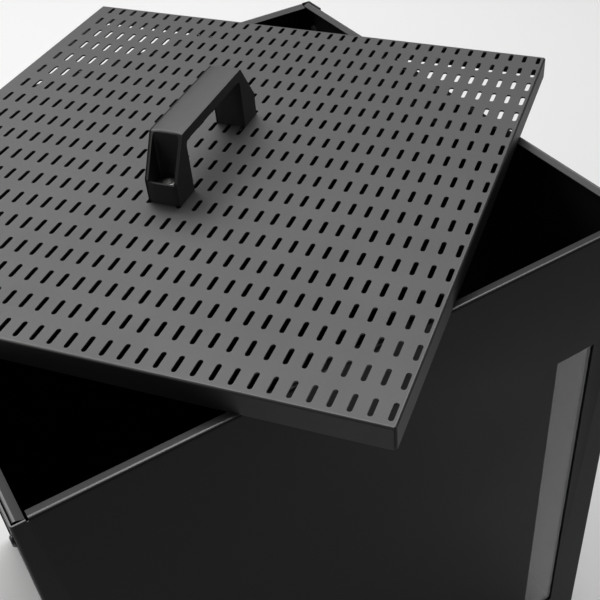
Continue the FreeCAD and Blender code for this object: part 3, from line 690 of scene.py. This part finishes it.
HANDLE_LENGTH = 102.0 * MM
HANDLE_TOP = 74.0 * MM
HANDLE_WIDTH = 19.0 * MM
HANDLE_HEIGHT = 37.0 * MM
HANDLE_BASE = 14.0 * MM
HANDLE_FOOT = 16.6 * MM
HANDLE_BAR = 6.0 * MM
HANDLE_EDGE = 0.5 * MM
HANDLE_CROWN = 0.5 * MM
CROWN_STEPS = 4
SOLE_CORNER = 0.3 * MM
END_CORNER = 1.6 * MM
GRIP_CORNER = 3.0 * MM
ARC_STEPS = 4
POCKET_WALL = 1.8 * MM
POCKET_LIP = 1.4 * MM
POCKET_BACK = 3.2 * MM
POCKET_FLOOR = 7.5 * MM
POCKET_CORNER = 1.2 * MM
LIP_LEVEL = 12.6 * MM
LIP_CORNER = 0.5 * MM
CUT_OVER = 5.0 * MM

handle_plastic = grained_finish(
    "handle_plastic", (0.009, 0.009, 0.0094, 1.0), (0.013, 0.013, 0.0135, 1.0), 0.46, 0.54,
    grains=1700, clouds=40, bump=0.16, depth=0.1 * MM, Specular_IOR_Level=0.8)


def rounded_outline(corners):
    """A closed outline through (across, up, radius) corners, with an arc at each."""
    points = []
    for index, (across, up, radius) in enumerate(corners):
        here = Vector((across, up))
        before = (Vector(corners[index - 1][:2]) - here).normalized()
        after = (Vector(corners[(index + 1) % len(corners)][:2]) - here).normalized()
        half = before.angle(after) / 2
        middle = here + (before + after).normalized() * radius / math.sin(half)
        start = here + before * radius / math.tan(half) - middle
        end = here + after * radius / math.tan(half) - middle
        for step in range(ARC_STEPS + 1):
            points.append(middle + start.slerp(end, step / ARC_STEPS).normalized() * radius)
    return points


def inset_outline(points, inset):
    """The outline moved inwards along its corners' middle directions."""
    moved = []
    for index, point in enumerate(points):
        before = (point - points[index - 1]).normalized()
        after = (points[(index + 1) % len(points)] - point).normalized()
        inwards = Vector((-before.y - after.y, before.x + after.x)).normalized()
        moved.append(point + inwards * inset)
    return moved


handle_end = HANDLE_LENGTH / 2
handle_foot = handle_end - HANDLE_FOOT
grip_level = HANDLE_HEIGHT - HANDLE_BAR
right_half = [
    (handle_foot, 0.0, SOLE_CORNER), (handle_end, 0.0, SOLE_CORNER),
    (handle_end, HANDLE_BASE, END_CORNER), (HANDLE_TOP / 2, HANDLE_HEIGHT, END_CORNER)]
left_half = [(-x, z, radius) for x, z, radius in reversed(right_half)]
grip = [(-handle_foot, grip_level, GRIP_CORNER), (handle_foot, grip_level, GRIP_CORNER)]
side_outline = rounded_outline(right_half + left_half + grip)

half_top = HANDLE_WIDTH / 2 - HANDLE_EDGE
stations = [(half_top * step / CROWN_STEPS, 0.0) for step in range(1 - CROWN_STEPS, CROWN_STEPS)]
for side in (-1, 1):
    for step in range(ARC_STEPS + 1):
        bend = step / ARC_STEPS * math.pi / 2
        across = HANDLE_WIDTH / 2 - HANDLE_EDGE * (1 - math.sin(bend))
        stations.append((side * across, HANDLE_EDGE * (1 - math.cos(math.pi / 2 - bend))))
stations.sort()

handle_mesh = bpy.data.meshes.new("bridge_handle")
handle_skin = bmesh.new()
handle_loops = []
for across, inset in stations:
    crown = HANDLE_CROWN * (2 * across / HANDLE_WIDTH) ** 2
    loop = []
    for point in inset_outline(side_outline, inset):
        lowered = crown * max(point.y - HANDLE_BASE, 0) / (HANDLE_HEIGHT - HANDLE_BASE)
        loop.append(handle_skin.verts.new((across, point.x, point.y - lowered)))
    handle_loops.append(loop)
bridge(handle_skin, handle_loops)
handle_skin.faces.new(list(reversed(handle_loops[0])))
handle_skin.faces.new(handle_loops[-1])
bmesh.ops.recalc_face_normals(handle_skin, faces=handle_skin.faces)
handle_skin.to_mesh(handle_mesh)
handle_skin.free()
handle_mesh.materials.append(handle_plastic)
handle = add_piece("bridge_handle", handle_mesh)


def pocket_cutter(way):
    """The space over one screw: upright walls, rounded corners and a level lip at the end."""
    half, near = HANDLE_WIDTH / 2 - POCKET_WALL, handle_foot + POCKET_BACK
    inner_end, outer_end = handle_end - POCKET_LIP, handle_end + POCKET_LIP
    mesh = bpy.data.meshes.new("pocket")
    skin = bmesh.new()
    loops = []
    for far, level in (
        (inner_end, POCKET_FLOOR), (inner_end, LIP_LEVEL),
        (outer_end, LIP_LEVEL + WELD), (outer_end, HANDLE_HEIGHT + CUT_OVER),
    ):
        plan = rounded_outline([
            (-half, near, POCKET_CORNER), (half, near, POCKET_CORNER),
            (half, far, LIP_CORNER), (-half, far, LIP_CORNER)])
        loops.append([skin.verts.new((point.x, way * point.y, level)) for point in plan])
    bridge(skin, loops)
    skin.faces.new(loops[0])
    skin.faces.new(loops[-1])
    bmesh.ops.recalc_face_normals(skin, faces=skin.faces)
    skin.to_mesh(mesh)
    skin.free()
    return add_piece("pocket", mesh)


cutters = [pocket_cutter(way) for way in (-1, 1)]
for cutter in cutters:
    cut = handle.modifiers.new("pocket", "BOOLEAN")
    cut.operation = "DIFFERENCE"
    cut.solver = "EXACT"
    cut.use_self = True
    cut.object = cutter
settle(handle)
for cutter in cutters:
    bpy.data.objects.remove(cutter)
handle.data.transform(lid_place)
finish_piece(handle, "lid", "handle_plastic", "lid_handle")

# Handle screws, washers and nuts: zinc plated M5 button heads from above, each with a plain washer
# and a nut under the lid.

WASHER_RADIUS = 5.0 * MM
WASHER_GAUGE = 1.0 * MM
WASHER_CLEAR = 0.15 * MM
WASHER_EDGE = 0.15 * MM
DOWN = -UP
HANDLE_THREAD = {
    "shank": 2.5 * MM, "groove": 0.35 * MM, "pitch": 0.8 * MM,
    "head": 4.75 * MM, "head_rim": 0.7 * MM, "head_height": 2.3 * MM, "head_flat": 2.7 * MM,
    "socket": 3.0 * MM, "socket_depth": 1.3 * MM,
    "nut": 8.0 * MM, "nut_height": 4.0 * MM, "tail": 2.0 * MM,
}


def washer_mesh(name):
    """A plain washer that stands on z = 0, with one edge rounded by the punch."""
    bore = HANDLE_THREAD["shank"] + WASHER_CLEAR
    return mesh_of_rings(name, [
        ring(bore, 0, SCREW_STEPS),
        ring(WASHER_RADIUS, 0, SCREW_STEPS),
        ring(WASHER_RADIUS, WASHER_GAUGE - WASHER_EDGE, SCREW_STEPS),
        ring(WASHER_RADIUS - WASHER_EDGE, WASHER_GAUGE, SCREW_STEPS),
        ring(bore, WASHER_GAUGE, SCREW_STEPS),
    ], hole=True)


def on_lid(level, axis):
    """Places over the two handle screws, at a height from the lid's top."""
    return [(lid_place @ Vector((0, way * HANDLE_SCREWS, level)), axis) for way in (-1, 1)]


under_lid = LID_GAUGE + WASHER_GAUGE
handle_grip = POCKET_FLOOR + under_lid + HANDLE_THREAD["nut_height"] + HANDLE_THREAD["tail"]
handle_screw = screw_mesh("handle_screw", HANDLE_THREAD, handle_grip)
handle_screws = group_piece("handle_button_screws", handle_screw, on_lid(POCKET_FLOOR, UP), zinc_plate)
finish_piece(handle_screws, "lid", "zinc_hardware", "handle_screws")
handle_washers = group_piece("lid_washers", washer_mesh("washer"), on_lid(-LID_GAUGE, DOWN), zinc_plate)
finish_piece(handle_washers, "lid", "zinc_hardware", "handle_washers")
handle_nut = nut_mesh("lid_nut", HANDLE_THREAD)
handle_nuts = group_piece("lid_hex_nuts", handle_nut, on_lid(-under_lid, DOWN), zinc_plate)
finish_piece(handle_nuts, "lid", "zinc_hardware", "handle_nuts")

# Studio: a plain pale floor, a dim even sky, and soft boxes behind, above and to the left, at a
# plain level. The camera stands where the photograph was taken, with that picture's framing.

FLOOR_HALF = 12.0
FLOOR_TONE = (0.83, 0.83, 0.83, 1.0)
WHITE = (1.0, 1.0, 1.0)
WARM = (1.0, 0.97, 0.93)
SKY_LEVEL = 0.15
LID_MIDDLE = Vector((0, 0, 0.42))
SOFT_BOXES = (
    ("back_left_soft_box", (-0.60, 1.84, 2.16), (2.0, 1.6), 34.2, WHITE),
    ("back_right_soft_box", (1.00, 1.11, 2.55), (2.2, 1.6), 37.6, WHITE),
    ("left_soft_box", (-1.69, 0.62, 1.68), (1.0, 1.0), 6.7, WARM),
    ("high_soft_box", (0.19, 0.29, 2.96), (0.5, 0.5), 9.5, WHITE),
)
CAMERA_PLACE = Vector((-0.1785, -0.4461, 0.7163))
CAMERA_RIGHT = Vector((0.8309, -0.5554, -0.0339))
CAMERA_UP = Vector((0.3846, 0.5292, 0.7564))
LENS_LENGTH = 57.43
LENS_SENSOR = 36.0
LENS_SHIFT = (-0.1038, -0.0001)
LENS_NEAR = 0.01

scene = bpy.context.scene
scene.view_settings.view_transform = "Standard"
floor_mesh = bpy.data.meshes.new("studio_floor")
floor_signs = ((-1, -1), (1, -1), (1, 1), (-1, 1))
floor_corners = [(x * FLOOR_HALF, y * FLOOR_HALF, 0) for x, y in floor_signs]
floor_mesh.from_pydata(floor_corners, [], [(0, 1, 2, 3)])
floor_mesh.materials.append(new_finish(
    "white_floor", Base_Color=FLOOR_TONE, Roughness=0.9, Specular_IOR_Level=0.0)[0])
add_piece("studio_floor", floor_mesh)

world = bpy.data.worlds.new("studio")
scene.world = world
world.use_nodes = True
sky = world.node_tree.nodes["Background"]
sky.inputs["Strength"].default_value = SKY_LEVEL
sky.inputs["Color"].default_value = (*WHITE, 1.0)

for name, place, size, power, colour in SOFT_BOXES:
    lamp = bpy.data.lights.new(name, "AREA")
    lamp.shape = "RECTANGLE"
    lamp.size, lamp.size_y = size
    lamp.energy = power
    lamp.color = colour
    holder = bpy.data.objects.new(name, lamp)
    scene.collection.objects.link(holder)
    holder.location = place
    holder.rotation_euler = (Vector(place) - LID_MIDDLE).to_track_quat("Z", "Y").to_euler()

lens = bpy.data.cameras.new("photo_camera")
lens.lens = LENS_LENGTH
lens.sensor_width = LENS_SENSOR
lens.shift_x, lens.shift_y = LENS_SHIFT
lens.clip_start = LENS_NEAR
camera = bpy.data.objects.new("photo_camera", lens)
scene.collection.objects.link(camera)
turned = Matrix((CAMERA_RIGHT, CAMERA_UP, CAMERA_RIGHT.cross(CAMERA_UP))).transposed().to_4x4()
camera.matrix_world = Matrix.Translation(CAMERA_PLACE) @ turned
scene.camera = camera
